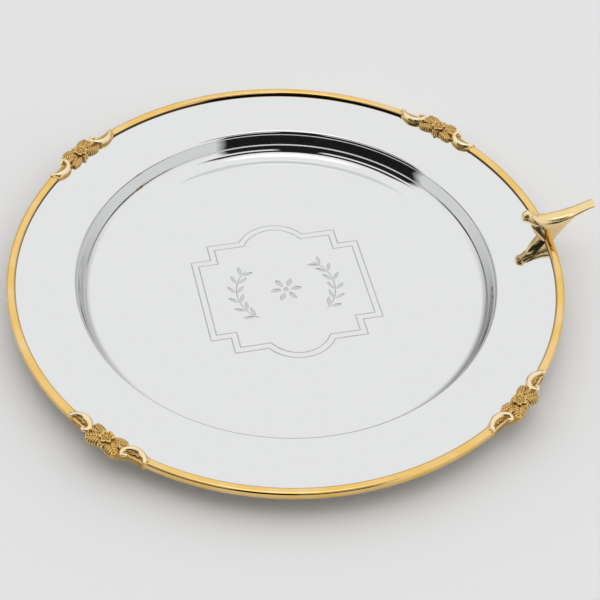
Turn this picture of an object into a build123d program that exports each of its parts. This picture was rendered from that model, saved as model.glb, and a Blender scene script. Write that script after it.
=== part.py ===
from build123d import *
from math import atan2, cos, degrees, radians, sin, tan
import os

# Round serving plate with a gold edge band, four cast ornaments and a bird figure.
# Millimetres. +Z is up, the origin is the centre of the base on the table plane.

# Plate body
SHEET = 1.2              # sheet thickness
RIM_TOP = 15.3           # top of the flat rim above the table
PLATE_RADIUS = 151.1     # cut edge of the sheet, inside the band
WALL_FOOT = 103.8        # where the floor starts to rise into the wall
WALL_LIP = 116.8         # where the wall runs out into the flat rim
FOOT_PULL = 13.4         # reach of the curve at the foot, which is a gentle bend
LIP_PULL = 5.4           # reach of the curve at the lip, which is a tight bend
WALL_SHIFT = 0.94        # how much further out the underside of the wall runs

# Engraving in the well's floor
GROOVE_WIDTH = 0.7
GROOVE_DEPTH = 0.3
FRAME_SIDE_X = 48.3      # half width of the cartouche
FRAME_SIDE_Y = 30.0      # half height of its straight sides
FRAME_STEP_X = 37.2      # half width of its straight top and bottom
FRAME_TOP_Y = 41.0
FRAME_ARC_X = 18.5       # half chord of the arch in the top and bottom
FRAME_ARC_Y = 50.9       # crown of the arch
FRAME_GAP = 3.6          # from the outer line to the inner line

# Emblem inside the cartouche: two leaf sprays and a rosette
SPRAY_LEAVES = 6         # leaf pairs on each spray
SPRAY_WIDTH = 15.5       # half axes of the curve that each stem follows
SPRAY_HEIGHT = 20.0
SPRAY_SWING = 62.0       # how far the stem runs each way, degrees
SPRAY_CENTRE_X = 12.0
STEM_WIDTH = 0.7
LEAF_LENGTH = 6.6
LEAF_WIDTH = 2.1
LEAF_LEAN = 36.0
LEAF_OFFSET = 1.1        # bare length between the stem and a leaf
ROSETTE_PETALS = 6
ROSETTE_PETAL = 6.5
ROSETTE_WIDTH = 3.0
ROSETTE_EYE = 1.5

# Edge band
BAND_RADIUS = 150.0
BAND_Z = 14.7            # mid height of the band
BAND_WIDTH = 5.0
BAND_HEIGHT = 5.2
BAND_SHOULDER = 1.9      # corner radius of the section

# Cast ornaments
ORNAMENT_AT = 40.4       # azimuth of the first one, degrees
ORNAMENT_COUNT = 4
ORNAMENT_HALF = 9.55     # half angle each one covers
END_GAP = 0.04           # degrees between a band and an ornament
CAST_BASE = 11.9         # underside of a casting
CAST_TOP = 16.6          # level that the relief rises from
SCROLL_RADIUS = 1.3
FLOWER_PETALS = 6
PETAL_RADIUS = 1.25
FLOWER_RING = 2.0

# Bird figure, standing on the band at azimuth 0
HEAD_AT = (136.2, 33.2)  # radius from the plate's axis, height above the table
HEAD_LENGTH = 6.2
HEAD_WIDTH = 6.6
FOOT_BOTTOM = 13.2

os.makedirs("parts", exist_ok=True)


def write(solid, name):
    solid.label = name
    export_step(solid, f"parts/{name}.step")


def polar(arc_mm, radius, z=0.0):
    """A point of an ornament: distance along the band from its centre, and radius."""
    angle = arc_mm / BAND_RADIUS
    return Vector(radius * cos(angle), radius * sin(angle), z)


# Plate body -----------------------------------------------------------------
def wall_curve(shift, drop):
    """The S-shaped wall from the floor up to the rim."""
    foot, lip = SHEET - drop, RIM_TOP - drop
    foot_pull = (WALL_FOOT + FOOT_PULL + shift, foot)
    lip_pull = (WALL_LIP - LIP_PULL + shift, lip)
    return Bezier((WALL_FOOT, foot), foot_pull, lip_pull, (WALL_LIP, lip))


def plate_profile():
    outline = [
        Line((0, SHEET), (WALL_FOOT, SHEET)),
        wall_curve(0, 0),
        Polyline(
            (WALL_LIP, RIM_TOP),
            (PLATE_RADIUS, RIM_TOP),
            (PLATE_RADIUS, RIM_TOP - SHEET),
            (WALL_LIP, RIM_TOP - SHEET),
        ),
        wall_curve(WALL_SHIFT, SHEET),
        Polyline((WALL_FOOT, 0), (0, 0), (0, SHEET)),
    ]
    return Plane.XZ * make_face(outline)


def frame_line(inset):
    """The stepped cartouche with arched top and bottom, drawn inset by a distance."""
    side_x = FRAME_SIDE_X - inset
    side_y = FRAME_SIDE_Y - inset
    step_x = FRAME_STEP_X - inset
    top_y = FRAME_TOP_Y - inset
    arc_y = FRAME_ARC_Y - inset
    chord, rise = FRAME_ARC_X, FRAME_ARC_Y - FRAME_TOP_Y
    arc_x = chord - inset * rise / chord
    quarter = [(side_x, -side_y), (side_x, side_y), (step_x, side_y), (step_x, top_y), (arc_x, top_y)]
    edges = []
    for turn in (1, -1):
        points = [(turn * x, turn * y) for x, y in quarter]
        edges += [Line(a, b) for a, b in zip(points, points[1:])]
        edges.append(ThreePointArc(points[-1], (0, turn * arc_y), (-turn * arc_x, turn * top_y)))
        link = [(-turn * arc_x, turn * top_y), (-turn * step_x, turn * top_y)]
        link += [(-turn * step_x, turn * side_y), (-turn * side_x, turn * side_y)]
        edges += [Line(a, b) for a, b in zip(link, link[1:])]
    return make_face(edges)


def frame_groove(inset):
    outer = frame_line(inset - GROOVE_WIDTH / 2)
    inner = frame_line(inset + GROOVE_WIDTH / 2)
    return outer - inner


def leaf(length, width):
    """A pointed leaf along +X, drawn as two arcs."""
    tip = (length, 0)
    upper = ThreePointArc((0, 0), (length / 2, width / 2), tip)
    lower = ThreePointArc(tip, (length / 2, -width / 2), (0, 0))
    return make_face([upper, lower])


def spray(side):
    """One leaf spray: a bowed stem with a pair of leaves at each step."""
    outer = Ellipse(SPRAY_WIDTH + STEM_WIDTH / 2, SPRAY_HEIGHT + STEM_WIDTH / 2)
    inner = Ellipse(SPRAY_WIDTH - STEM_WIDTH / 2, SPRAY_HEIGHT - STEM_WIDTH / 2)
    reach = SPRAY_HEIGHT * sin(radians(SPRAY_SWING))
    keep = Pos(side * SPRAY_WIDTH, 0) * Rectangle(2 * SPRAY_WIDTH, 2 * reach)
    centre = Pos(side * SPRAY_CENTRE_X, 0)
    shapes = [centre * ((outer - inner) & keep)]
    for i in range(SPRAY_LEAVES):
        swing = radians(SPRAY_SWING * (2 * (i + 0.2) / SPRAY_LEAVES - 1))
        x, y = side * SPRAY_WIDTH * cos(swing), SPRAY_HEIGHT * sin(swing)
        heading = degrees(atan2(SPRAY_HEIGHT * cos(swing), -side * SPRAY_WIDTH * sin(swing)))
        for lean in (LEAF_LEAN, -LEAF_LEAN):
            at = centre * Pos(x, y) * Rot(0, 0, heading + lean) * Pos(LEAF_OFFSET, 0)
            shapes.append(at * leaf(LEAF_LENGTH, LEAF_WIDTH))
    return shapes


def emblem():
    """Two leaf sprays bowing outwards round a small rosette."""
    shapes = spray(1) + spray(-1)
    for i in range(ROSETTE_PETALS):
        turn = Rot(0, 0, 360 / ROSETTE_PETALS * i)
        shapes.append(turn * Pos(ROSETTE_EYE * 1.7, 0) * leaf(ROSETTE_PETAL, ROSETTE_WIDTH))
    shapes.append(Circle(ROSETTE_EYE))
    return shapes


def plate_body():
    body = revolve(plate_profile(), Axis.Z)
    floor = Plane.XY.offset(SHEET)
    for flat in [frame_groove(0), frame_groove(FRAME_GAP)]:
        body -= extrude(floor * flat, -GROOVE_DEPTH)
    for flat in emblem():
        body -= extrude(floor * flat, -GROOVE_DEPTH)
    return body


# Edge band ------------------------------------------------------------------
def sheet_slot():
    """The space that the plate's rim takes inside a band or a casting."""
    low = RIM_TOP - SHEET
    section = Plane.XZ * Rectangle(PLATE_RADIUS - WALL_LIP, SHEET, align=(Align.MIN, Align.MIN))
    return revolve(Pos(WALL_LIP, 0, low) * section, Axis.Z)


def band(first, last, slot):
    section = RectangleRounded(BAND_WIDTH, BAND_HEIGHT, BAND_SHOULDER)
    face = Pos(BAND_RADIUS, 0, BAND_Z) * (Plane.XZ * section)
    arc = revolve(face, Axis.Z, revolution_arc=last - first)
    return Rot(0, 0, first) * arc - slot


# Cast ornament --------------------------------------------------------------
def ellipsoid(size, place, turn=0.0):
    ball = scale(Sphere(1), by=size)
    return Pos(*place) * Rot(0, 0, turn) * ball


def casting_outline():
    """Half outline of a casting from its middle to its end, as (along, radius)."""
    outer = [(0, 153.6), (2.1, 152.9), (3.6, 154.4), (7.2, 155.6), (10.2, 154.5)]
    outer += [(12.4, 153.2), (14.4, 152.4), (18.4, 152.1), (21.6, 152.1), (23.2, 152.7)]
    outer += [(25.0, 152.4)]
    inner = [(25.0, 147.6), (22.2, 146.5), (18.2, 145.4), (14.2, 145.9), (11.6, 147.3)]
    inner += [(9.4, 146.1), (6.4, 145.7), (4.0, 146.1), (2.2, 147.0), (0, 146.3)]
    return outer, inner


def casting_base():
    outer, inner = casting_outline()
    outer_arc = [polar(-u, r) for u, r in reversed(outer)] + [polar(u, r) for u, r in outer[1:]]
    inner_arc = [polar(u, r) for u, r in inner] + [polar(-u, r) for u, r in reversed(inner[:-1])]
    edges = [Spline(outer_arc), Line(outer_arc[-1], inner_arc[0])]
    edges += [Spline(inner_arc), Line(inner_arc[-1], outer_arc[0])]
    return extrude(Pos(0, 0, CAST_BASE) * make_face(edges), CAST_TOP - CAST_BASE)


def scroll(side):
    """The C-scroll at one end: a tapered bar that ends in a round eye."""
    stations = [(24.2, 151.6, 0.75), (22.6, 148.6, 0.95), (18.6, 146.9, 1.2), (14.2, 147.4, 1.25)]
    stations += [(11.9, 149.8, 1.05), (12.3, 152.3, 0.9)]
    path = Spline([polar(side * u, r, CAST_TOP) for u, r, _ in stations])
    sections = []
    for i, (u, r, size) in enumerate(stations):
        where = path.param_at_point(polar(side * u, r, CAST_TOP))
        sections.append(Plane(path @ where, z_dir=path % where) * Circle(size * SCROLL_RADIUS))
    bar = loft(sections)
    return bar + ellipsoid((1.5, 1.5, 1.6), polar(side * 12.4, 152.5, CAST_TOP + 0.3))


def leaves(side):
    """Outer and inner leaf lobes of one side, each with raised ribs."""
    shapes = []
    lobes = [(7.4, 152.9, 3.6, 2.9, 1.9, 35), (7.0, 147.9, 3.4, 2.3, 1.7, -20), (9.8, 150.4, 2.6, 1.8, 1.5, 5)]
    for u, r, long, wide, high, turn in lobes:
        angle = side * turn + 90
        shapes.append(ellipsoid((long, wide, high), polar(side * u, r, CAST_TOP - 0.2), angle))
    for u, r in [(20.6, 149.4), (18.4, 148.9), (16.2, 149.1), (14.3, 150.0)]:
        shapes.append(ellipsoid((1.9, 0.75, 0.9), polar(side * u, r, CAST_TOP - 0.1), side * 10))
    for u, r in [(23.6, 150.4), (24.0, 148.9)]:
        shapes.append(ellipsoid((0.9, 0.9, 1.0), polar(side * u, r, CAST_TOP)))
    return shapes


def flower():
    centre = polar(0, 150.2, CAST_TOP + 0.7)
    shapes = [ellipsoid((3.3, 3.3, 1.3), polar(0, 150.2, CAST_TOP))]
    for i in range(FLOWER_PETALS):
        angle = 360 / FLOWER_PETALS * i
        step = Vector(FLOWER_RING, 0, 0).rotate(Axis.Z, angle)
        place = centre + step
        shapes.append(ellipsoid((1.45, PETAL_RADIUS, 0.9), (place.X, place.Y, place.Z), angle))
    shapes.append(ellipsoid((0.85, 0.85, 1.2), (centre.X, centre.Y, centre.Z + 0.2)))
    shapes.append(ellipsoid((1.6, 1.0, 1.2), polar(0, 153.9, CAST_TOP)))
    return shapes


def ornament(slot):
    body = casting_base()
    relief = flower()
    for side in (1, -1):
        relief.append(scroll(side))
        relief += leaves(side)
    body = body.fuse(*relief)
    return body - slot


# Bird figure ----------------------------------------------------------------
def bird_wings():
    """Folded wings and tail: rounded sections lofted from the neck to the tail."""
    stations = [
        (137.2, 33.4, 4.8, 4.4),
        (140.5, 31.2, 7.4, 4.6),
        (145.8, 28.5, 9.3, 6.2),
        (151.0, 28.6, 9.5, 5.2),
        (157.5, 30.4, 8.7, 2.9),
        (165.0, 32.8, 7.2, 1.9),
        (174.6, 36.8, 6.4, 1.4),
    ]
    sections = []
    for r, z, wide, high in stations:
        plane = Plane(origin=(r, 0, z), x_dir=(0, 1, 0), z_dir=(1, 0, 0.25))
        sections.append(plane * RectangleRounded(wide, high, 0.38 * high))
    return loft(sections)


def bird_body():
    """Breast and belly, narrowing down to the foot that sits over the band."""
    stations = [
        (FOOT_BOTTOM, 145.6, 154.9, 8.8),
        (15.8, 144.0, 156.4, 9.2),
        (20.0, 141.2, 159.4, 9.2),
        (25.7, 138.7, 163.4, 9.0),
        (29.4, 138.6, 166.0, 7.6),
    ]
    sections = []
    for z, front, back, wide in stations:
        oval = Ellipse((back - front) / 2, wide / 2)
        sections.append(Pos((front + back) / 2, 0, z) * oval)
    return loft(sections)


def bird_head():
    """An egg-shaped head, turned about its length, and a short blunt beak."""
    r, z = HEAD_AT
    disc = Plane.XZ * Ellipse(HEAD_LENGTH / 2, HEAD_WIDTH / 2)
    half = disc & (Plane.XZ * Pos(0, HEAD_WIDTH / 2) * Rectangle(HEAD_LENGTH, HEAD_WIDTH))
    head = Pos(r, 0, z) * revolve(half, Axis.X)
    beak = Pos(r - 1.3, 0, z - 1.9) * Rot(0, -140, 0) * Cone(1.6, 1.0, 2.6)
    return head + beak


def bird(neighbours):
    figure = bird_body() + bird_wings()
    figure += bird_head()
    under = Cylinder(BAND_RADIUS, RIM_TOP, align=(Align.CENTER, Align.CENTER, Align.MIN))
    for other in [under] + neighbours:
        figure -= other
    return figure


# Assembly -------------------------------------------------------------------
plate = plate_body()
write(plate, "plate_body")

slot = sheet_slot()
quarter = 360 / ORNAMENT_COUNT
bands = []
for i in range(ORNAMENT_COUNT):
    start = ORNAMENT_AT + quarter * i + ORNAMENT_HALF + END_GAP
    length = quarter - 2 * (ORNAMENT_HALF + END_GAP)
    bands.append(band(start, start + length, slot))
    write(bands[-1], f"edge_band_{i + 1}")

casting = ornament(slot)
for i in range(ORNAMENT_COUNT):
    write(Rot(0, 0, ORNAMENT_AT + quarter * i) * casting, f"cast_ornament_{i + 1}")

write(bird([bands[ORNAMENT_COUNT - 1], slot]), "bird_figure")
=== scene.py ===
# %% [markdown]
# # An offering plate with a gold edge, four castings and a small bird
# This lesson rebuilds a polished offering plate about 305 mm across.
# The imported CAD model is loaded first. It fixes every size and place, and each piece
# made here has to fit the CAD node that it stands for.
# The finishes are mixed next. Then the pieces are made in the order a workshop would make
# them: the plate, the edge band, the castings and the bird. The studio comes last.

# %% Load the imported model
import bmesh
import bpy
import math
from mathutils import Matrix, Vector
from mathutils.geometry import interpolate_bezier


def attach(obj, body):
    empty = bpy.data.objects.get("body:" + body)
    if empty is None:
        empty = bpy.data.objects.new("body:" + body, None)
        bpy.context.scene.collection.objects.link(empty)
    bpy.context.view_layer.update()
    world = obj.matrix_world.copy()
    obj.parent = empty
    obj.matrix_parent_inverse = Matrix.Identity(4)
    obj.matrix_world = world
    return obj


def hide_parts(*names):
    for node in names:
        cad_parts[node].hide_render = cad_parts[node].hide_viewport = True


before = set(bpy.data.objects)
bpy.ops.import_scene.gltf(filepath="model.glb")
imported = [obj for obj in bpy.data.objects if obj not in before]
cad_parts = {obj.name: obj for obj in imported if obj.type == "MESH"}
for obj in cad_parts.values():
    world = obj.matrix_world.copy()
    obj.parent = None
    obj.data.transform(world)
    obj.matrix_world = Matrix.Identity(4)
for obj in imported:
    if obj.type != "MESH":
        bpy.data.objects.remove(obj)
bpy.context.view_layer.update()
print("CAD nodes:", sorted(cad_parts))

# %% [markdown]
# ## Sizes
# A pressed plate is drawn as a section that is turned round the middle, so a few radii and
# heights describe all of it. They are kept in millimetres, as on a workshop drawing, and
# each finished mesh is scaled to metres once, at the end.

# %% Sizes of the plate, in millimetres
MM = 0.001
SHEET = 1.2
RIM_TOP = 15.3
PLATE_RADIUS = 151.1
BAND_RADIUS = 150.0
BAND_Z = 14.7
ORNAMENTS = 4
ORNAMENT_AT = 40.4
ORNAMENT_HALF = 9.55


# %% Helpers that finish a mesh
def finish_piece(bm, name, node, material, smooth_angle=None, merge=1e-4):
    """Merge doubles, turn the faces outwards, scale to metres and tie the piece to the frame."""
    bmesh.ops.remove_doubles(bm, verts=bm.verts, dist=merge)
    bmesh.ops.recalc_face_normals(bm, faces=bm.faces)
    bmesh.ops.scale(bm, vec=(MM, MM, MM), verts=bm.verts)
    mesh = bpy.data.meshes.new(name)
    bm.to_mesh(mesh)
    bm.free()
    piece = bpy.data.objects.new(name, mesh)
    bpy.context.scene.collection.objects.link(piece)
    mesh.materials.append(material)
    mesh.shade_smooth()
    if smooth_angle is not None:
        mesh.set_sharp_from_angle(angle=smooth_angle)
    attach(piece, "root")
    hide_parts(node)
    mesh.calc_loop_triangles()
    low, high = [Vector(f(v.co[i] for v in mesh.vertices) for i in range(3)) for f in (min, max)]
    size = [round(v / MM, 1) for v in high - low]
    print(name, "triangles", len(mesh.loop_triangles), "size mm", size)


def new_material(name):
    """A new material with its node tree and main shader."""
    material = bpy.data.materials.new(name)
    material.use_nodes = True
    tree = material.node_tree
    return material, tree, tree.nodes["Principled BSDF"]


def add_node(tree, kind, links=(), **values):
    """Add a shader node, set its inputs or properties by name, and link inputs to sockets."""
    node = tree.nodes.new(kind)
    for key, value in values.items():
        if key in node.inputs:
            node.inputs[key].default_value = value
        else:
            setattr(node, key, value)
    for key, socket in dict(links).items():
        tree.links.new(socket, node.inputs[key])
    return node


def add_noise(tree, scale, detail):
    """Noise in the piece's own space, as a value at each point."""
    place = add_node(tree, "ShaderNodeTexCoord").outputs["Object"]
    noise = add_node(tree, "ShaderNodeTexNoise", {"Vector": place}, Scale=scale, Detail=detail)
    return noise.outputs["Fac"]


def add_attribute(tree, name):
    """The value that a mesh attribute has at each point."""
    return add_node(tree, "ShaderNodeAttribute", attribute_name=name).outputs["Fac"]


def spread(tree, value, low, high):
    """A value of 0 to 1, stretched to run from low to high."""
    links = {"Value": value}
    node = add_node(tree, "ShaderNodeMapRange", links, **{"To Min": low, "To Max": high})
    return node.outputs["Result"]


def mix_colours(tree, share, base, other):
    """One colour going over to another, by a share of 0 to 1."""
    mix = add_node(tree, "ShaderNodeMix", data_type="RGBA")
    tree.links.new(share, mix.inputs["Factor"])
    if isinstance(base, tuple):
        mix.inputs["A"].default_value = (*base, 1)
    else:
        tree.links.new(base, mix.inputs["A"])
    mix.inputs["B"].default_value = (*other, 1)
    return mix.outputs["Result"]


def add_bump(tree, shader, height, strength, distance):
    """Roughen the surface by a height, at a strength and a depth in metres."""
    bump = add_node(tree, "ShaderNodeBump", {"Height": height}, Strength=strength,
                    Distance=distance)
    tree.links.new(bump.outputs["Normal"], shader.inputs["Normal"])


# %% [markdown]
# ## Finishes
# The plate is mirror-polished white metal. A perfect mirror looks like computer glass, so
# faint orange-peel and a little haze are added: they bend and blur the reflections
# slightly without changing the colour.

# %% Mirror-polished plate metal
PLATE_COLOUR = (0.77, 0.775, 0.78)
ENGRAVED_COLOUR = (0.60, 0.605, 0.62)
PLATE_ROUGHNESS = (0.02, 0.055)    # cleanest and haziest places
ENGRAVED_ROUGHNESS = 0.3
HAZE_SCALE = 22.0
PEEL_SCALE = 60.0


def mirror_metal():
    material, tree, shader = new_material("polished_plate_metal")
    shader.inputs["Metallic"].default_value = 1.0
    cut = add_attribute(tree, "engraved")
    tint = mix_colours(tree, cut, PLATE_COLOUR, ENGRAVED_COLOUR)
    tree.links.new(tint, shader.inputs["Base Color"])
    rough = spread(tree, add_noise(tree, HAZE_SCALE, 4.0), *PLATE_ROUGHNESS)
    scaled = add_node(tree, "ShaderNodeMath", {0: cut}, operation="MULTIPLY")
    scaled.inputs[1].default_value = ENGRAVED_ROUGHNESS
    frosted = add_node(tree, "ShaderNodeMath", {0: scaled.outputs[0], 1: rough},
                       operation="MAXIMUM")
    tree.links.new(frosted.outputs[0], shader.inputs["Roughness"])
    add_bump(tree, shader, add_noise(tree, PEEL_SCALE, 2.0), strength=0.02, distance=0.0004)
    return material


# %% Polished gold of the band and the bird
WORN_COLOUR = (0.93, 0.80, 0.56)
WORN_SHARE = 0.4                   # how far worn places go towards the worn colour
WEAR_STOPS = (0.42, 0.75)          # noise levels where wear starts and is full
# Painted shade for the corner between the band and the sheet.
CORNER_SHADE_COLOUR = (0.06, 0.035, 0.02)
FINE_SCALE = 900.0


def gold_metal(name, colour, roughness, wear_scale):
    """Polished gold plate with faint wear, a very fine unevenness, and painted shade in the
    corner that the mesh marks.
    """
    material, tree, shader = new_material(name)
    shader.inputs["Metallic"].default_value = 1.0
    wear = add_noise(tree, wear_scale, 5.0)
    tint = add_node(tree, "ShaderNodeValToRGB", {"Fac": wear})
    worn = [c * (1 - WORN_SHARE) + WORN_SHARE * w for c, w in zip(colour, WORN_COLOUR)]
    for stop, position, shade in zip(tint.color_ramp.elements, WEAR_STOPS, (colour, worn)):
        stop.position = position
        stop.color = (*shade, 1)
    # Painted shade: where the mesh marks the corner, the colour goes over to nearly black.
    painted_corner_shade = add_attribute(tree, "painted_corner_shade")
    corner_shade_tint = mix_colours(tree, painted_corner_shade, tint.outputs["Color"], CORNER_SHADE_COLOUR)
    tree.links.new(corner_shade_tint, shader.inputs["Base Color"])
    tree.links.new(spread(tree, wear, *roughness), shader.inputs["Roughness"])
    add_bump(tree, shader, add_noise(tree, FINE_SCALE, 2.0), strength=0.08, distance=0.0001)
    return material


plate_metal = mirror_metal()
band_gold = gold_metal("polished_band_gold", (0.86, 0.56, 0.17), (0.04, 0.10), 60.0)
bird_gold = gold_metal("polished_bird_gold", (0.88, 0.66, 0.33), (0.15, 0.20), 160.0)
print("finishes so far:", [m.name for m in (plate_metal, band_gold, bird_gold)])

# %% [markdown]
# ### Antique gold of the castings, with painted shade and highlight
# The castings look like gold that was darkened and rubbed back. Dark colour is painted in the
# hollows, as patina and as painted shade, and the high edges are painted pale, as polish and as
# painted highlight. Every casting carries an attribute that is low in its hollows and high on its
# edges, and the finish reads that.

# %% Antique gold with painted shade and highlight, driven by the edge-and-hollow attribute
# edge-and-hollow value, colour: the dark end is patina and painted shade, the pale end polish and
# painted highlight
ANTIQUE_SHADE_AND_HIGHLIGHT_STOPS = [
    (0.0, (0.05, 0.022, 0.008)),
    (0.3, (0.32, 0.16, 0.035)),
    (0.52, (0.74, 0.47, 0.13)),
    (1.0, (1.0, 0.88, 0.62)),
]
ANTIQUE_ROUGHNESS = (0.5, 0.12)    # in the hollows and on the edges
CAST_GRAIN_SCALE = 2600.0


def antique_gold_painted_shade_and_highlight():
    material, tree, shader = new_material("antique_casting_gold_painted_shade_and_highlight")
    shader.inputs["Metallic"].default_value = 1.0
    rub_shade_and_highlight = add_attribute(tree, "rub_shade_and_highlight")
    tint = add_node(tree, "ShaderNodeValToRGB", {"Fac": rub_shade_and_highlight})
    ramp = tint.color_ramp.elements
    for stop, (_, shade) in zip(ramp, (ANTIQUE_SHADE_AND_HIGHLIGHT_STOPS[0], ANTIQUE_SHADE_AND_HIGHLIGHT_STOPS[-1])):
        stop.color = (*shade, 1)
    for position, shade in ANTIQUE_SHADE_AND_HIGHLIGHT_STOPS[1:-1]:
        ramp.new(position).color = (*shade, 1)
    tree.links.new(tint.outputs["Color"], shader.inputs["Base Color"])
    tree.links.new(spread(tree, rub_shade_and_highlight, *ANTIQUE_ROUGHNESS), shader.inputs["Roughness"])
    grain = add_noise(tree, CAST_GRAIN_SCALE, 3.0)
    add_bump(tree, shader, grain, strength=0.25, distance=0.0001)
    return material


casting_gold = antique_gold_painted_shade_and_highlight()
print("casting finish nodes:", len(casting_gold.node_tree.nodes))

# %% [markdown]
# ## The plate
# A pressed plate is one sheet. Its section is drawn once, as a line of points, and spun a
# full turn round the middle. The wall is one S-shaped curve in many short steps, because a
# mirror shows every flat. The floor is left open at first: the engraver's work goes there.

# %% Section of the plate
BEND_STEPS = 56
WALL_FOOT = 103.8    # where the flat floor ends
WALL_LIP = 116.8     # where the flat rim starts
FOOT_PULL = 13.4     # reach of the curve at the foot, a gentle bend
LIP_PULL = 5.4       # reach of the curve at the lip, a tight bend
WALL_SHIFT = 0.94    # how much further out the underside runs


def wall_curve(shift, drop):
    """The S-shaped wall from the floor up to the rim, as one Bezier curve."""
    ends = Vector((WALL_FOOT, SHEET - drop, 0)), Vector((WALL_LIP, RIM_TOP - drop, 0))
    pulls = Vector((FOOT_PULL + shift, 0, 0)), Vector((LIP_PULL - shift, 0, 0))
    handles = ends[0] + pulls[0], ends[1] - pulls[1]
    curve = interpolate_bezier(ends[0], *handles, ends[1], BEND_STEPS)
    return [(p.x, p.y) for p in curve]


def plate_section():
    """The sheet's upper line from the floor to the edge, then its lower line back."""
    edge = [(PLATE_RADIUS, RIM_TOP), (PLATE_RADIUS, RIM_TOP - SHEET)]
    return wall_curve(0.0, 0.0) + edge + wall_curve(WALL_SHIFT, SHEET)[::-1]


section = plate_section()
print("points in the section:", len(section))


# %% Spin a section
def spin_line(bm, points, steps, angle=2 * math.pi, start=0.0):
    """Spin a line of (radius, height) points round the upright axis."""
    verts = [bm.verts.new((r, 0, z)) for r, z in points]
    edges = [bm.edges.new(pair) for pair in zip(verts, verts[1:])]
    if start:
        bmesh.ops.rotate(bm, verts=verts, cent=(0, 0, 0), matrix=Matrix.Rotation(start, 3, "Z"))
    full = abs(angle - 2 * math.pi) < 1e-9
    bmesh.ops.spin(bm, geom=verts + edges, cent=(0, 0, 0), axis=(0, 0, 1), angle=angle,
                   steps=steps, use_merge=full, use_duplicate=False)


PLATE_STEPS = 288
plate = bmesh.new()
spin_line(plate, section, PLATE_STEPS)
print("plate shell faces:", len(plate.faces))

# %% [markdown]
# ### The engraved floor
# The cartouche is two thin lines, one inside the other, with arched ends. An inset run
# twice, first downwards and then up, cuts the V-shaped groove that a graver leaves. The
# emblem in the middle is two leaf sprays and a rosette, each leaf a small carved hollow.

# %% Outline of the cartouche
GROOVE_WIDTH = 0.75
GROOVE_DEPTH = 0.22
FRAME_SIDE = Vector((48.3, 30.0))    # half width, half height of the straight sides
FRAME_STEP = Vector((37.2, 41.0))    # half width, half height of the stepped corners
FRAME_CHORD = 18.5                   # half width of the arch
FRAME_CROWN = 50.9                   # height of the arch
FRAME_GAP = 3.6                      # from the outer line to the inner one


def arch_points(steps=28):
    """The arched end, from one side of its chord to the other."""
    rise = FRAME_CROWN - FRAME_STEP.y
    radius = (FRAME_CHORD ** 2 + rise ** 2) / (2 * rise)
    half = math.asin(FRAME_CHORD / radius)
    turns = [half - 2 * half * i / steps for i in range(steps + 1)]
    middle = FRAME_CROWN - radius
    return [(radius * math.sin(a), middle + radius * math.cos(a)) for a in turns]


def face_up(face):
    face.normal_update()
    if face.normal.z < 0:
        face.normal_flip()
    return face


def cartouche_face(bm):
    """One flat face with the cartouche's outline, facing up."""
    top = [(FRAME_SIDE.x, FRAME_SIDE.y), (FRAME_STEP.x, FRAME_SIDE.y),
           (FRAME_STEP.x, FRAME_STEP.y)]
    half = top + arch_points() + [(-x, y) for x, y in reversed(top)]
    ring = half + [(-x, -y) for x, y in half]
    verts = [bm.verts.new((x, y, SHEET)) for x, y in ring]
    return face_up(bm.faces.new(verts))


def cut_groove(bm, face, width, depth):
    """Cut a V-shaped groove round the inside of a face. Returns the face left inside."""
    for rise in (-depth, depth):
        bmesh.ops.inset_region(bm, faces=[face], thickness=width / 2, depth=rise,
                               use_even_offset=True, use_boundary=True)
    return face


panel = cartouche_face(plate)
corners = len(panel.verts)
panel = cut_groove(plate, panel, GROOVE_WIDTH, GROOVE_DEPTH)
bmesh.ops.inset_region(plate, faces=[panel], thickness=FRAME_GAP - GROOVE_WIDTH, depth=0.0,
                       use_even_offset=True, use_boundary=True)
panel = cut_groove(plate, panel, GROOVE_WIDTH, GROOVE_DEPTH)
print("cartouche corners:", corners, "height inside, mm:", round(panel.verts[0].co.z, 3))

# %% [markdown]
# ### Emblem
# Each carved leaf starts as a pointed outline. Its face is pushed down and in towards a
# spine, which leaves two slopes that catch the light on opposite sides.

# %% Outlines of the emblem
SPRAY_LEAVES = 6
SPRAY_WIDTH = 15.5
SPRAY_HEIGHT = 20.0
SPRAY_SWING = math.radians(62.0)
SPRAY_CENTRE_X = 12.0
STEM_WIDTH = 0.7
LEAF_LENGTH = 6.6
LEAF_WIDTH = 2.1
LEAF_LEAN = math.radians(36.0)
LEAF_OFFSET = 1.1
ROSETTE_PETALS = 6
ROSETTE_PETAL = 6.5
ROSETTE_WIDTH = 3.0
ROSETTE_EYE = 1.5
EYE_STEPS = 24
PETAL_START = 1.7       # where a petal starts, in eye radii from the middle
LEAF_STEPS = 8
LEAF_SHIFT = 0.2        # how far the leaves sit along their share of the stem
LEAF_FULLNESS = 0.8     # under 1 gives a fuller outline
CARVE_INSET = 0.24      # how far the sunk face stands in from the outline
FLAT = 1e-4             # heights this close count as level


def leaf_outline(start, heading, length, width):
    """Points round a pointed leaf."""
    along = Vector((math.cos(heading), math.sin(heading)))
    across = Vector((-along.y, along.x))
    points = []
    for side in (1, -1):
        for i in range(LEAF_STEPS):
            t = i / LEAF_STEPS if side > 0 else 1 - i / LEAF_STEPS
            bulge = side * width / 2 * math.sin(math.pi * t) ** LEAF_FULLNESS
            points.append(start + along * length * t + across * bulge)
    return points


def stem_outline(side):
    """Points round the bowed stem of a spray."""
    points = []
    for edge_sign in (1, -1):
        for i in range(2 * LEAF_STEPS + 1):
            swing = SPRAY_SWING * (i / LEAF_STEPS - 1) * edge_sign
            wide = SPRAY_WIDTH + edge_sign * STEM_WIDTH / 2
            high = SPRAY_HEIGHT + edge_sign * STEM_WIDTH / 2
            points.append(Vector((side * (SPRAY_CENTRE_X + wide * math.cos(swing)),
                                  high * math.sin(swing))))
    return points


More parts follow.
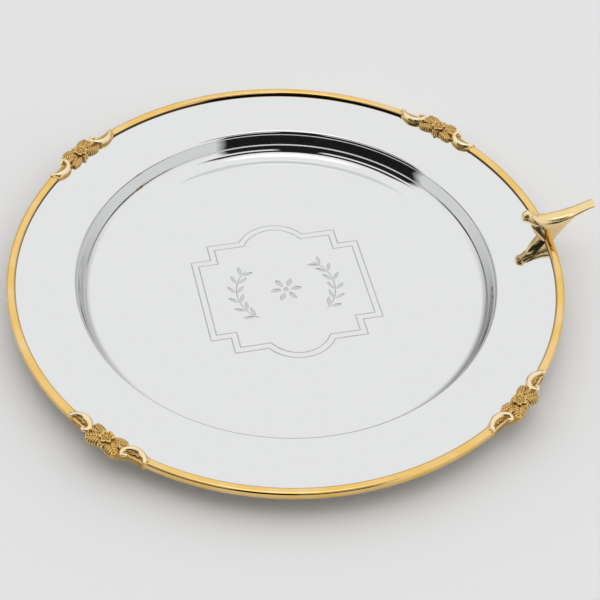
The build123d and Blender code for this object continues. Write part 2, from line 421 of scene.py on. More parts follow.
def emblem_outlines():
    outlines = [stem_outline(1), stem_outline(-1)]
    for side in (1, -1):
        for i in range(SPRAY_LEAVES):
            swing = SPRAY_SWING * (2 * (i + LEAF_SHIFT) / SPRAY_LEAVES - 1)
            at = Vector((side * (SPRAY_CENTRE_X + SPRAY_WIDTH * math.cos(swing)),
                         SPRAY_HEIGHT * math.sin(swing)))
            heading = math.atan2(SPRAY_HEIGHT * math.cos(swing),
                                 -side * SPRAY_WIDTH * math.sin(swing))
            for lean in (heading + LEAF_LEAN, heading - LEAF_LEAN):
                start = at + LEAF_OFFSET * Vector((math.cos(lean), math.sin(lean)))
                outlines.append(leaf_outline(start, lean, LEAF_LENGTH, LEAF_WIDTH))
    for i in range(ROSETTE_PETALS):
        turn = 2 * math.pi * i / ROSETTE_PETALS
        start = PETAL_START * ROSETTE_EYE * Vector((math.cos(turn), math.sin(turn)))
        outlines.append(leaf_outline(start, turn, ROSETTE_PETAL, ROSETTE_WIDTH))
    eye = [2 * math.pi * i / EYE_STEPS for i in range(EYE_STEPS)]
    outlines.append([ROSETTE_EYE * Vector((math.cos(a), math.sin(a))) for a in eye])
    return outlines


def carve(bm, points):
    """A carved hollow: a ring of edges at floor height and a face sunk to a blunt spine."""
    face = face_up(bm.faces.new([bm.verts.new((p.x, p.y, SHEET)) for p in points]))
    bmesh.ops.inset_region(bm, faces=[face], thickness=CARVE_INSET, depth=-GROOVE_DEPTH,
                           use_even_offset=True, use_boundary=True)


def open_floor_edges(bm, inner, outer):
    """Open edges at floor height whose two ends lie between two radii."""
    return {e for e in bm.edges if e.is_boundary and all(
        abs(v.co.z - SHEET) < FLAT and inner < v.co.xy.length < outer for v in e.verts)}


# The floor round the cartouche is filled first, then the floor inside it.
outline_edges = open_floor_edges(plate, 0, WALL_FOOT - 1)
floor_ring = open_floor_edges(plate, WALL_FOOT - 1, WALL_FOOT + 1)
bmesh.ops.triangle_fill(plate, use_beauty=True, use_dissolve=False,
                        edges=list(floor_ring | outline_edges))
for points in emblem_outlines():
    carve(plate, points)
plate.faces.remove(panel)
bmesh.ops.triangle_fill(plate, use_beauty=True, use_dissolve=False,
                        edges=list(open_floor_edges(plate, 0, WALL_FOOT - 1)))
under_ring = [e for e in plate.edges if e.is_boundary and all(v.co.z < FLAT for v in e.verts)]
bmesh.ops.triangle_fill(plate, use_beauty=True, use_dissolve=True, edges=under_ring)
print("open edges left in the plate:", sum(e.is_boundary for e in plate.edges))

# %% Mark the engraved faces and finish the plate
engraved = plate.faces.layers.float.new("engraved")
for face in plate.faces:
    heights = [v.co.z for v in face.verts if v.co.xy.length < WALL_FOOT - 1]
    face[engraved] = float(any(SHEET / 2 < z < SHEET - GROOVE_DEPTH / 2 for z in heights))
print("engraved faces:", sum(f[engraved] > 0 for f in plate.faces))
finish_piece(plate, "polished_plate", "plate_body", plate_metal,
             smooth_angle=math.radians(15.0), merge=1e-5)

# %% [markdown]
# ## The edge band
# The band is a rolled gold moulding that closes over the edge of the sheet. It is cut into
# four lengths by the castings. Its section is a squared bead: a nearly flat crown, round
# shoulders and an upright side, which is why it shows one bright stripe and one dark one.
# The corner between the band and the sheet is painted dark. This is painted shade, standing in
# for the dark line that is seen there. An attribute marks that corner for the finish.

# %% Section of the band
BAND_WIDTH = 5.0
BAND_HEIGHT = 5.2
BAND_SQUARENESS = 3.0    # 2 gives an oval section, more gives a squarer one
BAND_TUCK = 0.6          # degrees that a band runs in under each casting
SLOT_SHARE = 0.98        # how far apart the section's ends stand, as a share of the sheet
# These two sizes mark the corner that the finish paints dark as painted shade.
CORNER_SHADE_WIDTH = 2.2      # the dark corner lies further in than this from the band's middle
CORNER_SHADE_HEIGHT = 1.0     # and lower than this above the rim
BAND_STEPS = 96


def band_section(steps=48):
    """A squared bead as one line, from the sheet's underside right round to its top."""
    half_sheet = SHEET / 2 * SLOT_SHARE
    power = BAND_SQUARENESS
    points = []
    for i in range(steps + 1):
        turn = -math.pi + 2 * math.pi * i / steps
        cosine, sine = math.cos(turn), math.sin(turn)
        bulge = (abs(cosine) ** power + abs(sine) ** power) ** (-1 / power)
        points.append((BAND_RADIUS + BAND_WIDTH / 2 * cosine * bulge,
                       BAND_Z + BAND_HEIGHT / 2 * sine * bulge))
    points[0] = (points[0][0], BAND_Z - half_sheet)
    points[-1] = (points[-1][0], BAND_Z + half_sheet)
    return points


def edge_band(index):
    bm = bmesh.new()
    gap = math.radians(ORNAMENT_HALF - BAND_TUCK)
    quarter = 2 * math.pi / ORNAMENTS
    start = math.radians(ORNAMENT_AT) + quarter * index + gap
    spin_line(bm, band_section(), BAND_STEPS, angle=quarter - 2 * gap, start=start)
    open_edges = [e for e in bm.edges if e.is_boundary]
    bmesh.ops.holes_fill(bm, edges=open_edges, sides=0)
    # Mark the corner between band and sheet where the painted shade goes.
    corner = bm.verts.layers.float.new("painted_corner_shade")
    for vert in bm.verts:
        inside = BAND_RADIUS - CORNER_SHADE_WIDTH > vert.co.xy.length
        vert[corner] = float(inside and vert.co.z < RIM_TOP + CORNER_SHADE_HEIGHT)
    name = f"edge_band_{index + 1}"
    finish_piece(bm, "gold_" + name, name, band_gold,
                 smooth_angle=math.radians(40.0))


for index in range(ORNAMENTS):
    edge_band(index)

# %% [markdown]
# ## The castings
# Each casting is leaves, a flower and two scrolls in one lump of metal. It is modelled
# straight and flat, because a leaf is easiest to draw that way: u runs along the rim, v
# across it, and w up from it. All the parts are then melted into one skin, which gives the
# soft corners of a casting, and at the end the whole strip is bent round the rim.

# %% A smooth closed outline from a few corner points
def soft_outline(bm, corners, cuts=3, rounds=3):
    """A flat face whose outline is smoothed from a few corners."""
    verts = [bm.verts.new((u, v, 0)) for u, v in corners]
    edges = [bm.edges.new(pair) for pair in zip(verts, verts[1:] + verts[:1])]
    bmesh.ops.subdivide_edges(bm, edges=edges, cuts=cuts)
    for _ in range(rounds):
        bmesh.ops.smooth_vert(bm, verts=bm.verts, factor=0.5, use_axis_x=True, use_axis_y=True)
    bmesh.ops.edgeloop_fill(bm, edges=list(bm.edges))


CAST_BOTTOM = -3.3    # w of the underside
CAST_DECK = 1.15      # w of the lump's top, where the relief starts
# corners of the outline on one side of the middle, as (u, v)
CAST_OUTER = [(0, 3.6), (2.0, 2.8), (3.6, 4.4), (7.2, 5.6), (10.2, 4.4), (12.2, 3.0), (14.2, 2.2),
              (18.4, 2.0), (21.6, 2.0), (23.4, 2.7), (25.0, 2.4)]
CAST_INNER = [(25.0, -2.3), (22.2, -3.4), (18.2, -4.5), (14.2, -4.0), (11.6, -2.6), (9.4, -3.8),
              (6.4, -4.2), (4.0, -3.8), (2.2, -2.9), (0, -3.6)]


def casting_core():
    """The solid lump under the relief, with its upright sides."""
    half = CAST_OUTER + CAST_INNER
    ring = half + [(-u, v) for u, v in reversed(half) if u]
    bm = bmesh.new()
    soft_outline(bm, ring)
    bmesh.ops.translate(bm, verts=bm.verts, vec=(0, 0, CAST_BOTTOM))
    made = bmesh.ops.extrude_face_region(bm, geom=list(bm.faces))
    top = [g for g in made["geom"] if isinstance(g, bmesh.types.BMVert)]
    bmesh.ops.translate(bm, verts=top, vec=(0, 0, CAST_DECK - CAST_BOTTOM))
    bmesh.ops.recalc_face_normals(bm, faces=bm.faces)
    return bm


core = casting_core()
print("casting core faces:", len(core.faces))


# %% [markdown]
# A leaf is a small grid. Its outline is a blunt oval with a scalloped edge, its middle is
# domed, a sunk rib runs down the centre, and veins fan out from it to each scallop.

# %% A leaf
LEAF_UNDERSIDE = -1.6
LEAF_VEIN = 0.14            # height of the veins
VEIN_SWEEP = 0.22           # how far the veins lean towards the tip on their way out
VEIN_RISE = 2.5             # how quickly they rise on either side of the rib
RIB_DEPTH = 0.2
RIB_WIDTH = 0.10            # as a share of the half width
RIB_FADE = 0.5              # share of the rib's depth that is lost by the tip
SCALLOP = 0.05              # depth of the scallops as a share of the half width
OUTLINE_ENDS = 0.10, 0.88   # where on a half wave the leaf starts, and how much it covers
OUTLINE_SKEW = 0.9          # moves the widest place along the leaf
OUTLINE_BLUNTNESS = 0.42    # under 1 gives blunt ends
DOME_SHARES = 0.55, 0.45    # of the dome's height: steady, and swelling in the middle
DOME_SHIFT = 0.15


def leaf_shell(length, width, lobes, dome):
    """A domed, veined leaf along +x, closed underneath. t runs along it and s across it."""
    bm = bmesh.new()
    bmesh.ops.create_grid(bm, x_segments=84, y_segments=36, size=1.0)
    for vert in bm.verts:
        t = (vert.co.x + 1) / 2
        s = vert.co.y
        ridges = math.cos(2 * math.pi * lobes * (t - VEIN_SWEEP * abs(s)) + math.pi)
        wave = math.sin(math.pi * (OUTLINE_ENDS[0] + OUTLINE_ENDS[1] * t) ** OUTLINE_SKEW)
        wide = width / 2 * wave ** OUTLINE_BLUNTNESS
        wide *= 1 + SCALLOP * ridges * abs(s) ** 3
        swell = math.sin(math.pi * min(1, t + DOME_SHIFT))
        height = dome * (1 - s ** 4) * (DOME_SHARES[0] + DOME_SHARES[1] * swell)
        height += LEAF_VEIN * ridges * min(1.0, VEIN_RISE * abs(s))
        height -= RIB_DEPTH * math.exp(-(s / RIB_WIDTH) ** 2) * (1 - RIB_FADE * t)
        vert.co = Vector((length * t, s * wide, height))
    made = bmesh.ops.extrude_face_region(bm, geom=list(bm.faces))
    for vert in [g for g in made["geom"] if isinstance(g, bmesh.types.BMVert)]:
        vert.co.z = LEAF_UNDERSIDE
    bmesh.ops.recalc_face_normals(bm, faces=bm.faces)
    return bm


def lay(part, place, turn=0.0, lean=0.0, mirror=False):
    """Turn a part on the flat strip, tip it about its width and put it in place."""
    turned = Matrix.Rotation(turn, 4, "Z") @ Matrix.Rotation(-lean, 4, "Y")
    bmesh.ops.transform(part, matrix=Matrix.Translation(place) @ turned, verts=part.verts)
    if mirror:
        bmesh.ops.scale(part, vec=(-1, 1, 1), verts=part.verts)
        bmesh.ops.reverse_faces(part, faces=part.faces)
    return part


def pour(target, part):
    """Add a part's mesh to the casting."""
    mesh = bpy.data.meshes.new("part")
    part.to_mesh(mesh)
    part.free()
    target.from_mesh(mesh)
    bpy.data.meshes.remove(mesh)


# %% Scrolls, drawn as tapered wires
# u, v, w and radius along the wire
SCROLL_WIRE = [(24.0, 2.2, 1.5, 0.9), (23.6, 0.2, 1.6, 1.25), (21.4, -1.8, 1.6, 1.6),
               (18.2, -2.9, 1.6, 1.8), (14.9, -2.6, 1.7, 1.8), (12.6, -1.2, 1.9, 1.6),
               (11.2, 0.6, 2.1, 1.35), (11.0, 2.5, 2.2, 1.15), (12.1, 3.9, 2.2, 1.0),
               (13.8, 3.5, 2.1, 0.95), (14.1, 2.2, 2.0, 0.85)]


def scroll_wire(side):
    """A tapered, round-backed C-scroll made from a curve with a radius at each point."""
    data = bpy.data.curves.new("scroll", "CURVE")
    data.dimensions = "3D"
    data.bevel_depth = 1.0
    data.bevel_resolution = 5
    data.use_fill_caps = True
    data.resolution_u = 10
    spline = data.splines.new("NURBS")
    spline.points.add(len(SCROLL_WIRE) - 1)
    for point, (u, v, w, radius) in zip(spline.points, SCROLL_WIRE):
        point.co = (side * u, v, w, 1)
        point.radius = radius
    spline.order_u = 3
    spline.use_endpoint_u = True
    wire = bpy.data.objects.new("scroll", data)
    mesh = bpy.data.meshes.new_from_object(wire)
    bm = bmesh.new()
    bm.from_mesh(mesh)
    bpy.data.objects.remove(wire)
    bpy.data.curves.remove(data)
    bpy.data.meshes.remove(mesh)
    bmesh.ops.remove_doubles(bm, verts=bm.verts, dist=1e-4)
    bmesh.ops.recalc_face_normals(bm, faces=bm.faces)
    return bm


def bead(place, size):
    """A round bead, squashed by the three sizes."""
    bm = bmesh.new()
    bmesh.ops.create_uvsphere(bm, u_segments=24, v_segments=14, radius=1.0)
    bmesh.ops.scale(bm, vec=size, verts=bm.verts)
    bmesh.ops.translate(bm, verts=bm.verts, vec=place)
    return bm


FAN_RIBS = 7
FAN_CENTRE = 17.9, 1.3
FAN_TURNS = 200, 130       # degrees that the web starts at, and how far it runs round
FAN_REACH = 4.9, 3.6       # outer radius, and how much of it the web covers
FAN_STRETCH = 1.15, 0.85   # along the rim and across it
FAN_HEIGHTS = 1.45, 0.7    # at the outer edge, and the rise towards the middle
FLUTE_DEPTH = 0.30
FLUTE_FADE = 0.4           # share of the flutes' depth that is lost towards the middle


def fan():
    """The fluted web inside a scroll, widening towards its open side."""
    bm = bmesh.new()
    bmesh.ops.create_grid(bm, x_segments=70, y_segments=16, size=1.0)
    for vert in bm.verts:
        t, s = (vert.co.x + 1) / 2, (vert.co.y + 1) / 2
        turn = math.radians(FAN_TURNS[0] + FAN_TURNS[1] * t)
        reach = FAN_REACH[0] - FAN_REACH[1] * s
        u = FAN_CENTRE[0] + FAN_STRETCH[0] * reach * math.cos(turn)
        v = FAN_CENTRE[1] + FAN_STRETCH[1] * reach * math.sin(turn)
        flute = FLUTE_DEPTH * math.cos(2 * math.pi * FAN_RIBS * t)
        w = FAN_HEIGHTS[0] + FAN_HEIGHTS[1] * s + flute * (1 - FLUTE_FADE * s)
        vert.co = Vector((u, v, w))
    made = bmesh.ops.extrude_face_region(bm, geom=list(bm.faces))
    for vert in [g for g in made["geom"] if isinstance(g, bmesh.types.BMVert)]:
        vert.co.z = 0.0
    bmesh.ops.recalc_face_normals(bm, faces=bm.faces)
    return bm


# %% [markdown]
# The flower has six cupped petals round a bead. Small leaves stick out behind it, and
# pellets close each end where the casting meets the band.

# %% Build the flat casting
PETALS = 6
FLOWER_AT = (0.0, 0.0, 3.0)
FLOWER_DISC = (2.9, 2.9, 0.9)
FLOWER_STUB_AT, FLOWER_STUB = (0, 0, 1.5), (2.6, 2.6, 1.6)
PETAL_SIZE = (1.75, 1.40, 0.9)
PETAL_RING = 2.35                # from the flower's middle to a petal's
PETAL_LIFT = 0.35
PETAL_LEAN = math.radians(14)
CUP_DEPTH = 0.75
CUP_FADE = 0.4                   # how much flatter the cup is towards the petal's edge
EYE_LIFT, EYE_SIZE = 0.75, (0.85, 0.85, 0.75)


def flower_parts():
    parts = [bead(FLOWER_AT, FLOWER_DISC), bead(FLOWER_STUB_AT, FLOWER_STUB)]
    for i in range(PETALS):
        turn = 2 * math.pi * (i + 0.5) / PETALS
        petal = bmesh.new()
        bmesh.ops.create_uvsphere(petal, u_segments=28, v_segments=16, radius=1.0)
        for vert in petal.verts:
            across = vert.co.xy.length
            if vert.co.z > 0:
                vert.co.z -= CUP_DEPTH * (1 - across) * (1 - across * CUP_FADE)
        bmesh.ops.scale(petal, vec=PETAL_SIZE, verts=petal.verts)
        step = PETAL_RING * math.cos(turn), PETAL_RING * math.sin(turn), PETAL_LIFT
        parts.append(lay(petal, Vector(FLOWER_AT) + Vector(step), turn, PETAL_LEAN))
    parts.append(bead((FLOWER_AT[0], FLOWER_AT[1], FLOWER_AT[2] + EYE_LIFT), EYE_SIZE))
    return parts


# place (u, v, w), turn and lean in degrees, length, width, lobes, dome
LEAVES = [
    ((2.5, 1.6, 1.4), 30, 0, 8.0, 7.6, 6, 1.7),
    ((2.6, -1.2, 1.2), -18, 0, 8.6, 5.2, 6, 1.2),
    ((5.8, 0.2, 1.7), 4, 3, 5.4, 2.8, 5, 1.2),
    ((0.4, 2.6, 1.5), 78, 4, 3.4, 3.0, 3, 1.1),
    ((0.4, -2.0, 1.3), -72, 0, 2.6, 2.6, 3, 0.9),
]
# u, v, w and radius
PELLETS = [(25.1, 1.9, 1.7, 0.95), (25.3, 0.2, 1.8, 0.9), (24.8, -1.5, 1.5, 0.8)]


def flat_casting():
    casting = bmesh.new()
    pour(casting, casting_core())
    for part in flower_parts():
        pour(casting, part)
    for mirror in (False, True):
        side = -1 if mirror else 1
        for place, turn, lean, length, width, lobes, dome in LEAVES:
            shell = leaf_shell(length, width, lobes, dome)
            pour(casting, lay(shell, place, math.radians(turn), math.radians(lean), mirror))
        pour(casting, scroll_wire(side))
        pour(casting, lay(fan(), (0, 0, 0), mirror=mirror))
        for u, v, w, radius in PELLETS:
            pour(casting, bead((side * u, v, w), (radius, radius, radius)))
    return casting


flat = flat_casting()
print("flat casting before melting, faces:", len(flat.faces))

# %% [markdown]
# Melting the parts together is a voxel remesh: it keeps only the outer skin, at one even
# grain. The edge-and-hollow attribute compares each point with a smoothed copy of the skin.
# Points that stand above the copy are edges, which polishing reaches; they are painted pale,
# as polish and as painted highlight. Points below it are hollows, painted dark as patina and as
# painted shade.

# %% Melt the parts, mark edges and hollows for the painted highlight and shade, and bend the strip
MELT_GRAIN = 0.17
RUB_ROUNDS = 14       # rounds of smoothing in the copy
RUB_MIDDLE = 0.42     # value of a point that is level with the copy
RUB_GAIN = 3.8        # gain in value for each millimetre above it
# The backs of the scrolls are painted pale, as polish and as painted highlight.
POLISHED = 0.85       # value on the backs of the scrolls
SCROLL_START = 2.6    # the scrolls' share in the middle of the wire, before it is cut to 1
SCROLL_FALL = 2       # and its fall for each wire radius away from the middle


def melt(bm, grain):
    """Voxel remesh of everything in the mesh."""
    mesh = bpy.data.meshes.new("melt")
    bm.to_mesh(mesh)
    bm.free()
    lump = bpy.data.objects.new("melt", mesh)
    bpy.context.scene.collection.objects.link(lump)
    remesh = lump.modifiers.new("melt", "REMESH")
    remesh.mode = "VOXEL"
    remesh.voxel_size = grain
    graph = bpy.context.evaluated_depsgraph_get()
    skin = bpy.data.meshes.new_from_object(lump.evaluated_get(graph))
    bpy.data.objects.remove(lump)
    bpy.data.meshes.remove(mesh)
    out = bmesh.new()
    out.from_mesh(skin)
    bpy.data.meshes.remove(skin)
    return out


def scroll_share(place):
    """1 on the back of a scroll, falling to 0 away from its wire."""
    best = 0.0
    spot = Vector((abs(place.x), place.y))
    for (u0, v0, _, near), (u1, v1, _, far) in zip(SCROLL_WIRE, SCROLL_WIRE[1:]):
        start, along = Vector((u0, v0)), Vector((u1 - u0, v1 - v0))
        t = min(1.0, max(0.0, (spot - start).dot(along) / along.length_squared))
        gap = (spot - start - along * t).length / (near + (far - near) * t)
        best = max(best, min(1.0, SCROLL_START - SCROLL_FALL * gap))
    return best if place.z > CAST_DECK else 0.0


def mark_rub_shade_and_highlight(bm):
    """Store 0 in hollows and 1 on edges, from the distance to a smoothed copy; the finish paints
    shade at 0 and highlight at 1.
    """
    layer = bm.verts.layers.float.new("rub_shade_and_highlight")
    bm.normal_update()
    sharp = [(vert.co.copy(), vert.normal.copy()) for vert in bm.verts]
    for _ in range(RUB_ROUNDS):
        bmesh.ops.smooth_vert(bm, verts=bm.verts, factor=0.5, use_axis_x=True, use_axis_y=True,
                              use_axis_z=True)
    for vert, (place, normal) in zip(bm.verts, sharp):
        proud = (place - vert.co).dot(normal)
        rub_shade_and_highlight = min(1.0, max(0.0, RUB_MIDDLE + RUB_GAIN * proud))
        vert[layer] = rub_shade_and_highlight + (POLISHED - rub_shade_and_highlight) * scroll_share(place)
        vert.co = place


def bend_round_rim(bm, azimuth):
    """Wrap the straight strip round the rim at an azimuth."""
    for vert in bm.verts:
        turn = azimuth + vert.co.x / BAND_RADIUS
        radius = BAND_RADIUS + vert.co.y
        vert.co = Vector((radius * math.cos(turn), radius * math.sin(turn), RIM_TOP + vert.co.z))


skin = melt(flat, MELT_GRAIN)
bmesh.ops.smooth_vert(skin, verts=skin.verts, factor=0.4, use_axis_x=True, use_axis_y=True,
                      use_axis_z=True)
mark_rub_shade_and_highlight(skin)
print("melted skin faces:", len(skin.faces))

for index in range(ORNAMENTS):
    copy = skin.copy()
    bend_round_rim(copy, math.radians(ORNAMENT_AT + 360 / ORNAMENTS * index))
    node = f"cast_ornament_{index + 1}"
    finish_piece(copy, "leaf_and_" + node, node, casting_gold)
skin.free()

# %% [markdown]
# ## The bird
# The bird is a smooth little dove, cast in one and polished. It is built as three forms
# that run into each other: the breast and belly down to the foot, the neck and head, and
# the folded wings with the tail. Each form is a row of rings bridged together and rounded
# by a subdivision surface. Creases along the rings keep the wing's edge crisp.

# %% Bridge a row of rings into a closed form
def ring_of(bm, points):
    verts = [bm.verts.new(p) for p in points]
    edges = [bm.edges.new(pair) for pair in zip(verts, verts[1:] + verts[:1])]
    return verts, edges


def bridge_rings(rings, creased=(), crease=0.85):
    """Bridge rings of points, cap the ends and crease chosen lines along the form."""
    bm = bmesh.new()
    layer = bm.edges.layers.float.new("crease_edge")
    made = [ring_of(bm, points) for points in rings]
    for (_, near), (_, far) in zip(made, made[1:]):
        bmesh.ops.bridge_loops(bm, edges=near + far)
    for _, edges in (made[0], made[-1]):
        bmesh.ops.edgeloop_fill(bm, edges=edges)
    for (near, _), (far, _) in zip(made, made[1:]):
        for i in creased:
            line = bm.edges.get((near[i], far[i]))
            if line:
                line[layer] = crease
    bmesh.ops.recalc_face_normals(bm, faces=bm.faces)
    return bm


def round_off(bm, levels):
    """Subdivide a form as a surface and return the dense mesh."""
    mesh = bpy.data.meshes.new("cage")
    bm.to_mesh(mesh)
    bm.free()
    cage = bpy.data.objects.new("cage", mesh)
    bpy.context.scene.collection.objects.link(cage)
    surface = cage.modifiers.new("round", "SUBSURF")
    surface.levels = levels
    surface.render_levels = levels
    graph = bpy.context.evaluated_depsgraph_get()
    dense = bpy.data.meshes.new_from_object(cage.evaluated_get(graph))
    bpy.data.objects.remove(cage)
    bpy.data.meshes.remove(mesh)
    out = bmesh.new()
    out.from_mesh(dense)
    bpy.data.meshes.remove(dense)
    return out


# %% Wings and tail
# radius from the plate's middle, top of the back, lower wing edge, half width
WING_STATIONS = [
    (136.8, 35.8, 33.8, 1.9),
    (139.4, 33.9, 30.8, 3.3),
    (142.4, 32.4, 27.2, 4.3),
    (146.0, 31.6, 23.4, 5.0),
    (150.4, 31.2, 23.8, 5.1),
    (154.4, 31.3, 26.2, 4.9),
    (158.0, 31.8, 28.6, 4.5),
    (161.5, 32.5, 30.8, 4.0),
    (165.0, 33.7, 32.2, 3.6),
    (169.4, 35.7, 34.6, 3.3),
    (174.0, 37.3, 36.3, 3.2),
    (174.6, 37.5, 36.5, 3.15),
]
# ring shape: across as a share of the half width, height from lower edge (0) to back (1)
WING_RING = [(0.0, 1.0), (0.5, 0.95), (0.88, 0.72), (1.0, 0.36), (0.98, 0.0), (0.55, 0.05)]
WING_BELLY = (0.0, 0.05)
WING_CREASES = (4, 8)    # places in the ring of the two lower edges, which stay crisp
WING_SLANT = 0.35        # how far each ring leans outwards at its lower edge


def wing_rings():
    ring = WING_RING + [WING_BELLY] + [(-y, z) for y, z in reversed(WING_RING[1:])]
    rings = []
    for radius, top, low, wide in WING_STATIONS:
        rings.append([Vector((radius + WING_SLANT * (1 - z), y * wide, low + z * (top - low)))
                      for y, z in ring])
    return rings


wings = bridge_rings(wing_rings(), creased=WING_CREASES)
print("wing cage faces:", len(wings.faces))


# %% Breast, belly and foot
# height, front, back, half width
BODY_STATIONS = [
    (13.2, 146.0, 154.8, 4.4),
    (14.6, 145.2, 155.4, 4.7),
    (16.4, 144.0, 156.4, 4.8),
    (18.6, 142.3, 157.9, 4.8),
    (21.4, 140.6, 159.9, 4.8),
    (24.4, 139.3, 162.1, 4.7),
    (27.4, 138.6, 164.5, 4.4),
    (29.8, 139.2, 166.8, 3.9),
    (32.0, 158.5, 169.2, 3.3),
    (33.3, 163.5, 170.6, 2.8),
]


RING_TURNS = [2 * math.pi * i / 16 for i in range(16)]    # 16 points to a ring


def oval(middle, height, along, across):
    return [Vector((middle + along * math.cos(a), across * math.sin(a), height))
            for a in RING_TURNS]


def body_rings():
    return [oval((front + back) / 2, z, (back - front) / 2, wide)
            for z, front, back, wide in BODY_STATIONS]


body = bridge_rings(body_rings())
print("body cage faces:", len(body.faces))

# %% Head, beak and neck
# radius from the middle, height, size of the ring
NECK_STATIONS = [
    (136.6, 33.2, 2.9),
    (138.8, 31.4, 3.2),
    (141.0, 29.4, 3.5),
    (144.6, 27.0, 3.4),
    (149.0, 26.0, 2.4),
]
HEAD_AT, HEAD_SIZE = (136.4, 0.0, 33.0), (3.3, 3.3, 3.6)
BEAK_AT, BEAK_SIZE = (134.9, 0.0, 31.0), (1.4, 1.3, 1.6)


def neck_rings():
    """Round rings, each standing square to the line through its neighbours."""
    rings = []
    last = len(NECK_STATIONS) - 1
    for i, (radius, height, size) in enumerate(NECK_STATIONS):
        near = Vector(NECK_STATIONS[max(0, i - 1)][:2])
        far = Vector(NECK_STATIONS[min(last, i + 1)][:2])
        lift = (far - near).normalized()
        upward = Vector((-lift.y, lift.x))
        rings.append([Vector((radius + upward.x * size * math.cos(a), size * math.sin(a),
                              height + upward.y * size * math.cos(a))) for a in RING_TURNS])
    return rings


neck = bridge_rings(neck_rings())
print("neck cage faces:", len(neck.faces))


# %% Join the bird
ROUND_LEVELS = 3
bird = bmesh.new()
for form in (wings, body, neck):
    pour(bird, round_off(form, ROUND_LEVELS))
pour(bird, bead(HEAD_AT, HEAD_SIZE))
pour(bird, bead(BEAK_AT, BEAK_SIZE))
finish_piece(bird, "polished_bird", "bird_figure", bird_gold,
             smooth_angle=math.radians(35.0), merge=1e-5)

# %% [markdown]
# ## The studio
# A mirror shows its surroundings, so the studio is half of how the plate looks. White
# walls make the flats pale grey. A dark doorway behind the camera gives the black crescent
# in the wall of the well, and the dark slots above it give the thin dark lines.

# %% Camera
FOCAL_LENGTH = 105.36
SENSOR_WIDTH = 36.0
CAMERA_AZIMUTH = math.radians(-15.3)
CAMERA_ELEVATION = math.radians(47.22)
CAMERA_ROLL = math.radians(3.22)
CAMERA_DISTANCE = 0.96435
CAMERA_AIM = (-0.007215, 0.015075)    # where the plate's middle stands off the picture's


def place_camera():
    cosine, sine = math.cos(CAMERA_ELEVATION), math.sin(CAMERA_ELEVATION)
    back = Vector((math.sin(CAMERA_AZIMUTH) * cosine, -math.cos(CAMERA_AZIMUTH) * cosine, sine))
    level = Vector((math.cos(CAMERA_AZIMUTH), math.sin(CAMERA_AZIMUTH), 0))
    upright = back.cross(level)
    roll = Matrix.Rotation(CAMERA_ROLL, 3, back)
    right, up = roll @ level, roll @ upright
    spot = Vector((0, 0, BAND_Z * MM)) - right * CAMERA_AIM[0] - up * CAMERA_AIM[1]
    spot += back * CAMERA_DISTANCE
    data = bpy.data.cameras.new("studio_camera")
    data.lens = FOCAL_LENGTH
    data.sensor_width = SENSOR_WIDTH
    camera = bpy.data.objects.new("studio_camera", data)
    bpy.context.scene.collection.objects.link(camera)
    turn = Matrix((right, up, back)).transposed()
    camera.matrix_world = Matrix.Translation(spot) @ turn.to_4x4()
    bpy.context.scene.camera = camera
    return camera


print("camera at, mm:", [round(v / MM) for v in place_camera().location])

# %% Floor
FLOOR_HALF = 4.0    # metres
FLOOR_COLOUR = (0.96, 0.96, 0.96, 1)


def studio_floor():
    bm = bmesh.new()
    bmesh.ops.create_grid(bm, x_segments=1, y_segments=1, size=FLOOR_HALF)
    mesh = bpy.data.meshes.new("studio_floor")
    bm.to_mesh(mesh)
    bm.free()
    floor = bpy.data.objects.new("studio_floor", mesh)
    bpy.context.scene.collection.objects.link(floor)
    material, _, shader = new_material("pale_paper")
    shader.inputs["Base Color"].default_value = FLOOR_COLOUR
    shader.inputs["Roughness"].default_value = 0.9
    mesh.materials.append(material)
    return floor


print("floor:", studio_floor().name)

# %% [markdown]
# The white room is painted on the world with plain maths on the direction of each ray.
# Azimuth 0 points away from the camera. Each dark patch is a soft-edged window in azimuth
# and elevation. The patches stay in place when the camera moves. Where the camera looks
# straight at the world it sees plain white, so the patches show only as reflections.

# %% World
# low, high azimuth; bottom, top elevation; softness in azimuth and elevation; darkness
ROOM_DARK = [
    (-220, -114, -6, 34, 6, 3, 0.985),
    (143, 220, -6, 34, 6, 3, 0.985),
    (-220, -164, 20, 62, 5, 3, 0.985),
    (170, 220, 20, 62, 5, 3, 0.985),
    (-220, -104, 45, 61, 10, 2, 0.97),
    (124, 220, 45, 61, 10, 2, 0.97),
    (-60, 4, -30, 22, 40, 30, 0.62),
    (4, 60, -30, 22, 40, 30, 0.50),
    (-220, 220, -30, 10, 5, 20, 0.16),
]
ROOM_SOFTBOX = (78, 95, 6)    # bottom, top elevation and softness
ROOM_SOFTBOX_POWER = 0.6


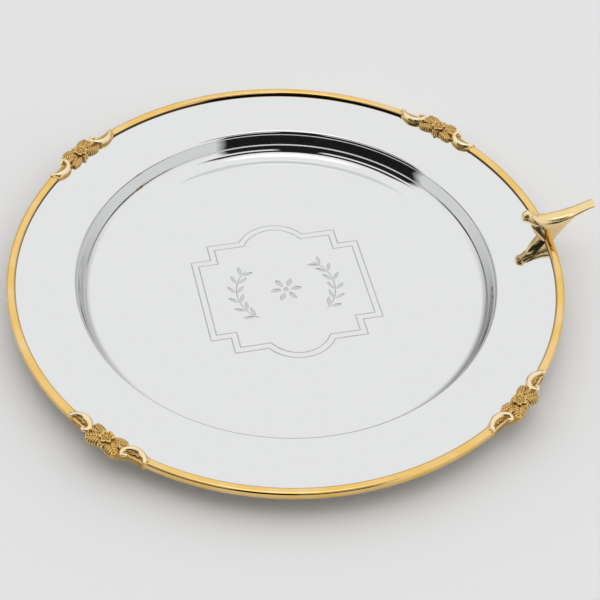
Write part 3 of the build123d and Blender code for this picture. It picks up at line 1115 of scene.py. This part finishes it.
class RoomPainter:
    """Small helper that writes maths nodes as calls."""

    def __init__(self, tree):
        self.tree = tree

    def maths(self, operation, *values, clamp=False):
        node = self.tree.nodes.new("ShaderNodeMath")
        node.operation = operation
        node.use_clamp = clamp
        for i, value in enumerate(values):
            if isinstance(value, (int, float)):
                node.inputs[i].default_value = value
            else:
                self.tree.links.new(value, node.inputs[i])
        return node.outputs[0]

    def window(self, value, low, high, soft):
        """1 between low and high, fading over soft, all in degrees."""
        soft = math.radians(soft)
        rise = self.maths("SUBTRACT", value, math.radians(low) - soft / 2)
        fall = self.maths("SUBTRACT", math.radians(high) + soft / 2, value)
        rise = self.maths("DIVIDE", rise, soft, clamp=True)
        fall = self.maths("DIVIDE", fall, soft, clamp=True)
        return self.maths("MULTIPLY", rise, fall)


def white_room():
    world = bpy.data.worlds.new("white_room")
    bpy.context.scene.world = world
    world.use_nodes = True
    tree = world.node_tree
    background = tree.nodes["Background"]
    paint = RoomPainter(tree)
    place = tree.nodes.new("ShaderNodeTexCoord").outputs["Generated"]
    turned = add_node(tree, "ShaderNodeVectorRotate", {"Vector": place}, rotation_type="Z_AXIS")
    turned.inputs["Angle"].default_value = -CAMERA_AZIMUTH
    axes = add_node(tree, "ShaderNodeSeparateXYZ", {"Vector": turned.outputs[0]})
    height = paint.maths("ARCSINE", axes.outputs["Z"])
    azimuth = paint.maths("ARCTAN2", axes.outputs["X"], axes.outputs["Y"])
    dark = None
    for low, high, bottom, top, edge_az, edge_el, depth in ROOM_DARK:
        patch = paint.maths("MULTIPLY", paint.window(azimuth, low, high, edge_az),
                            paint.window(height, bottom, top, edge_el))
        patch = paint.maths("MULTIPLY", patch, depth)
        dark = patch if dark is None else paint.maths("MAXIMUM", dark, patch)
    white = paint.maths("SUBTRACT", 1.0, dark)
    overhead = paint.window(height, *ROOM_SOFTBOX)
    white = paint.maths("ADD", white, paint.maths("MULTIPLY", overhead, ROOM_SOFTBOX_POWER))
    seen = tree.nodes.new("ShaderNodeLightPath").outputs["Is Camera Ray"]
    shown = paint.maths("MAXIMUM", white, seen)
    tree.links.new(shown, background.inputs["Strength"])
    background.inputs["Color"].default_value = (1, 1, 1, 1)
    return world


world = white_room()
bpy.context.scene.view_settings.view_transform = "Standard"
print("world nodes:", len(world.node_tree.nodes))
